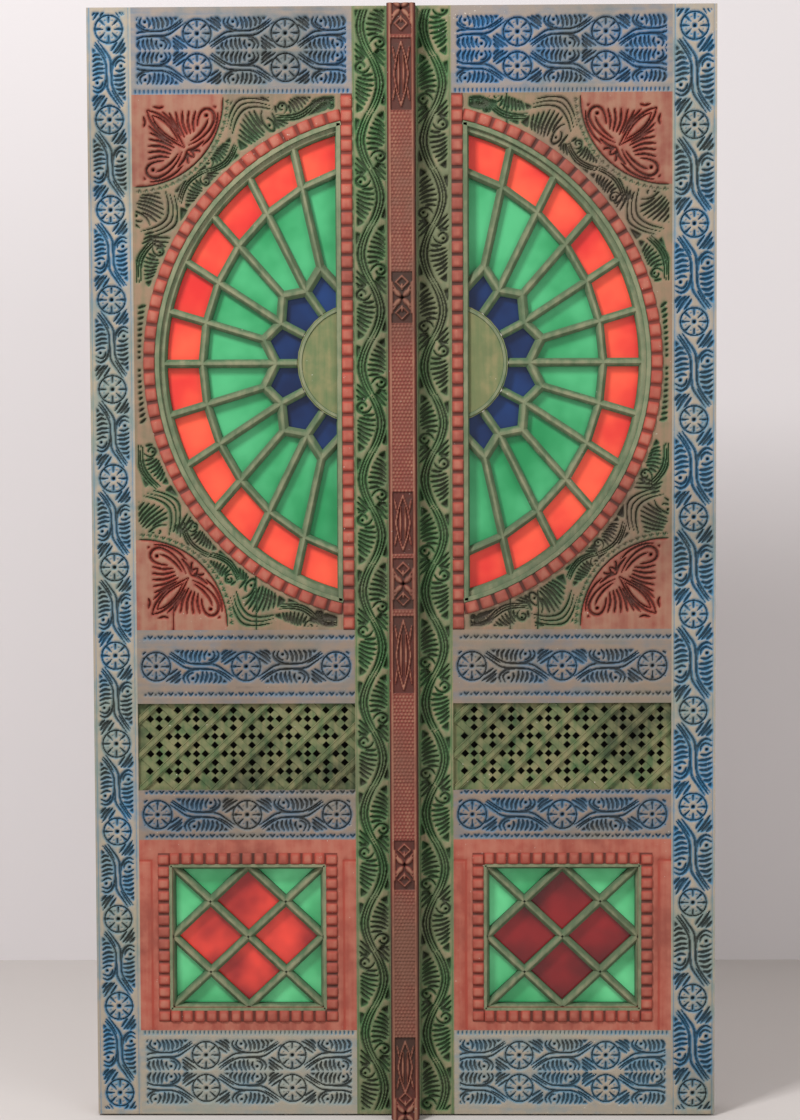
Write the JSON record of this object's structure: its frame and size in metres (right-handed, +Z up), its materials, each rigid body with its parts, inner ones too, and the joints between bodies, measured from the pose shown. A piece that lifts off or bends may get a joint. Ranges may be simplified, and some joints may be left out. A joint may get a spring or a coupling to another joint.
{
  "type": "carved double door",
  "caption": "Carved and painted double door with a fan of coloured glass, a pierced lattice and a small square window in each leaf, and a cover post on the joint, hung in a slim timber frame.",
  "frame": {"origin": "middle of the bottom of the whole part, on the floor", "axes": "Z up, Y from the carved face to the back, X to the right as seen from the carved face"},
  "size_m": [1.235, 0.156, 2.204],
  "materials": {
    "blue_paint": "worn blue-grey paint over pale timber",
    "stile_green_paint": "worn green paint",
    "panel_green_paint": "worn green paint",
    "red_paint": "worn brick-red paint",
    "tracery_paint": "worn olive paint",
    "hub_paint": "worn olive paint",
    "lattice_paint": "worn olive and green paint",
    "post_paint": "worn brick-red paint",
    "bare_timber": "plain unpainted timber",
    "red_glass": "coloured pane, slightly see-through",
    "green_glass": "coloured pane, slightly see-through",
    "blue_glass": "coloured pane, slightly see-through",
    "hinge_iron": "dark iron"
  },
  "bodies": {
    "frame": {"left_jamb": "bare_timber", "right_jamb": "bare_timber", "head": "bare_timber", "sill": "bare_timber", "left_frame_hinge_halves": "hinge_iron", "right_frame_hinge_halves": "hinge_iron"},
    "left_leaf": {"left_outer_stile": "blue_paint", "left_top_rail": "blue_paint", "left_bottom_rail": "blue_paint", "left_frieze_rail": "blue_paint", "left_waist_rail": "blue_paint", "left_meeting_stile": "stile_green_paint", "left_fan_panel": "panel_green_paint", "left_fan_arch_moulding": "red_paint", "left_fan_side_moulding": "red_paint", "left_window_frame": "red_paint", "left_window_moulding": "red_paint", "left_fan_tracery": "tracery_paint", "left_window_tracery": "tracery_paint", "left_fan_hub": "hub_paint", "left_lattice": "lattice_paint", "left_lattice_back": "bare_timber", "left_fan_panes_red": "red_glass", "left_window_panes_red": "red_glass", "left_fan_panes_green": "green_glass", "left_window_panes_green": "green_glass", "left_fan_panes_blue": "blue_glass", "left_fan_back_bead": "bare_timber", "left_window_back_bead": "bare_timber", "left_leaf_hinge_halves": "hinge_iron", "centre_post": "post_paint"},
    "right_leaf": {"right_outer_stile": "blue_paint", "right_top_rail": "blue_paint", "right_bottom_rail": "blue_paint", "right_frieze_rail": "blue_paint", "right_waist_rail": "blue_paint", "right_meeting_stile": "stile_green_paint", "right_fan_panel": "panel_green_paint", "right_fan_arch_moulding": "red_paint", "right_fan_side_moulding": "red_paint", "right_window_frame": "red_paint", "right_window_moulding": "red_paint", "right_fan_tracery": "tracery_paint", "right_window_tracery": "tracery_paint", "right_fan_hub": "hub_paint", "right_lattice": "lattice_paint", "right_lattice_back": "bare_timber", "right_fan_panes_red": "red_glass", "right_window_panes_red": "red_glass", "right_fan_panes_green": "green_glass", "right_window_panes_green": "green_glass", "right_fan_panes_blue": "blue_glass", "right_fan_back_bead": "bare_timber", "right_window_back_bead": "bare_timber", "right_leaf_hinge_halves": "hinge_iron"}
  },
  "joints": [
    {"name": "left_leaf_hinge", "type": "hinge", "parent": "frame", "child": "left_leaf", "pos_m": [-0.6055, 0.023, 0], "axis": [0, 0, -1], "range_deg": [0, 110]},
    {"name": "right_leaf_hinge", "type": "hinge", "parent": "frame", "child": "right_leaf", "pos_m": [0.6055, 0.023, 0], "axis": [0, 0, 1], "range_deg": [0, 110]}
  ],
  "couplings": [
    {"joint": "right_leaf_hinge", "follows": "left_leaf_hinge", "ratio": 1}
  ]
}
